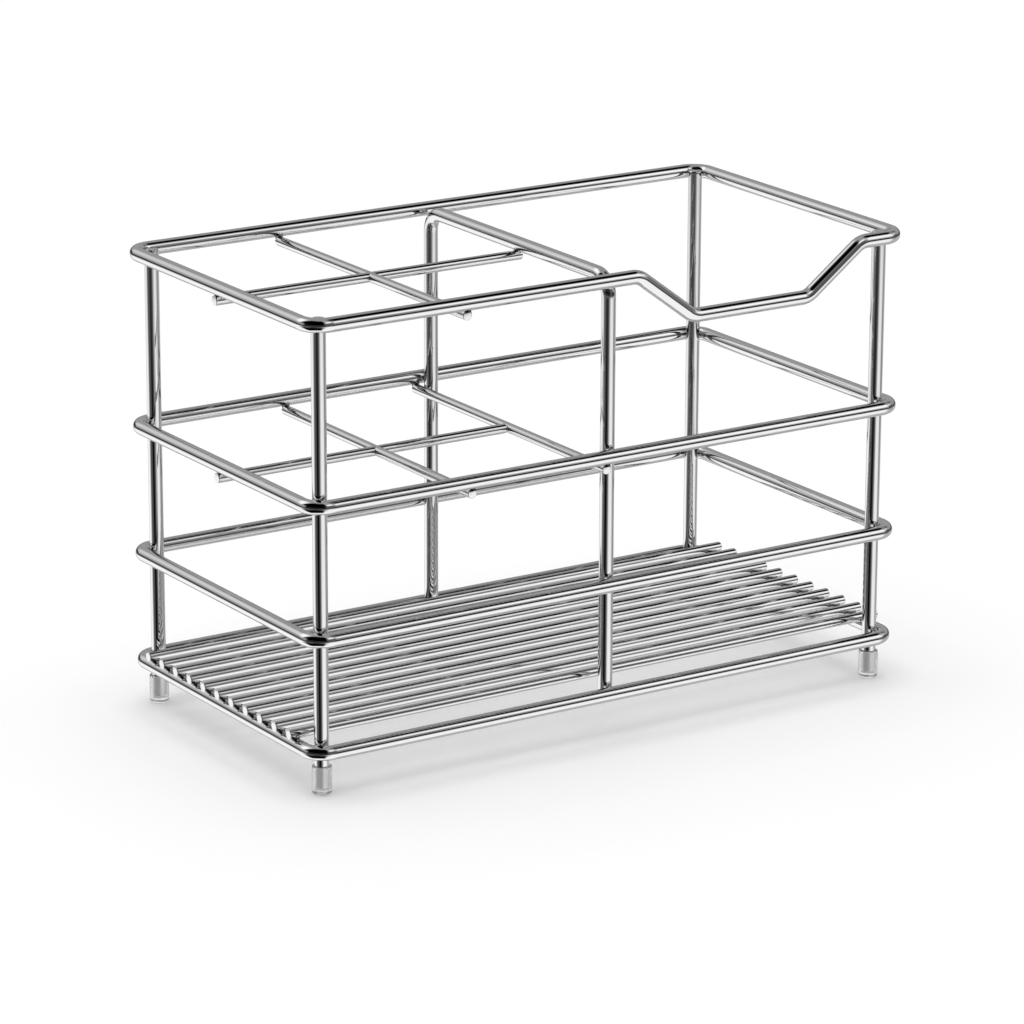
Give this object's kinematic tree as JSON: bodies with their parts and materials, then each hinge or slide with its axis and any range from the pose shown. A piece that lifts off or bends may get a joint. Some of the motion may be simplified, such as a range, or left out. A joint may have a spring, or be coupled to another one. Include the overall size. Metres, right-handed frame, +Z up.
{
  "type": "toothbrush holder",
  "caption": "Open wire toothbrush holder: bent rings on corner posts, a divider hoop, two rod grids for brushes, a dipped front rim and a slatted rod base on capped feet.",
  "frame": {"origin": "on the surface that the holder stands on, below the middle of the rings", "axes": "+X along the holder's length towards the bin, +Y from the dipped front to the back, +Z up"},
  "size_m": [0.1946, 0.1017, 0.1315],
  "materials": {
    "frame_wire": "electropolished stainless wire, mirror bright",
    "grid_wire": "electropolished thin stainless wire, mirror bright with fine draw lines",
    "foot_cap": "frosted translucent vinyl, dipped and smooth"
  },
  "bodies": {
    "root": {"base_ring": "frame_wire", "lower_ring": "frame_wire", "upper_ring": "frame_wire", "top_rim": "frame_wire", "post_front_left": "frame_wire", "post_front_right": "frame_wire", "post_back_right": "frame_wire", "post_back_left": "frame_wire", "divider_hoop": "frame_wire", "upper_grid_long_rod": "grid_wire", "upper_grid_cross_rod": "grid_wire", "lower_grid_long_rod": "grid_wire", "lower_grid_middle_rod": "grid_wire", "lower_grid_end_rod": "grid_wire", "base_rod_01": "grid_wire", "base_rod_02": "grid_wire", "base_rod_03": "grid_wire", "base_rod_04": "grid_wire", "base_rod_05": "grid_wire", "base_rod_06": "grid_wire", "base_rod_07": "grid_wire", "base_rod_08": "grid_wire", "base_rod_09": "grid_wire", "base_rod_10": "grid_wire", "base_rod_11": "grid_wire", "foot_cap_front_left": "foot_cap", "foot_cap_front_right": "foot_cap", "foot_cap_back_right": "foot_cap", "foot_cap_back_left": "foot_cap"}
  },
  "joints": []
}
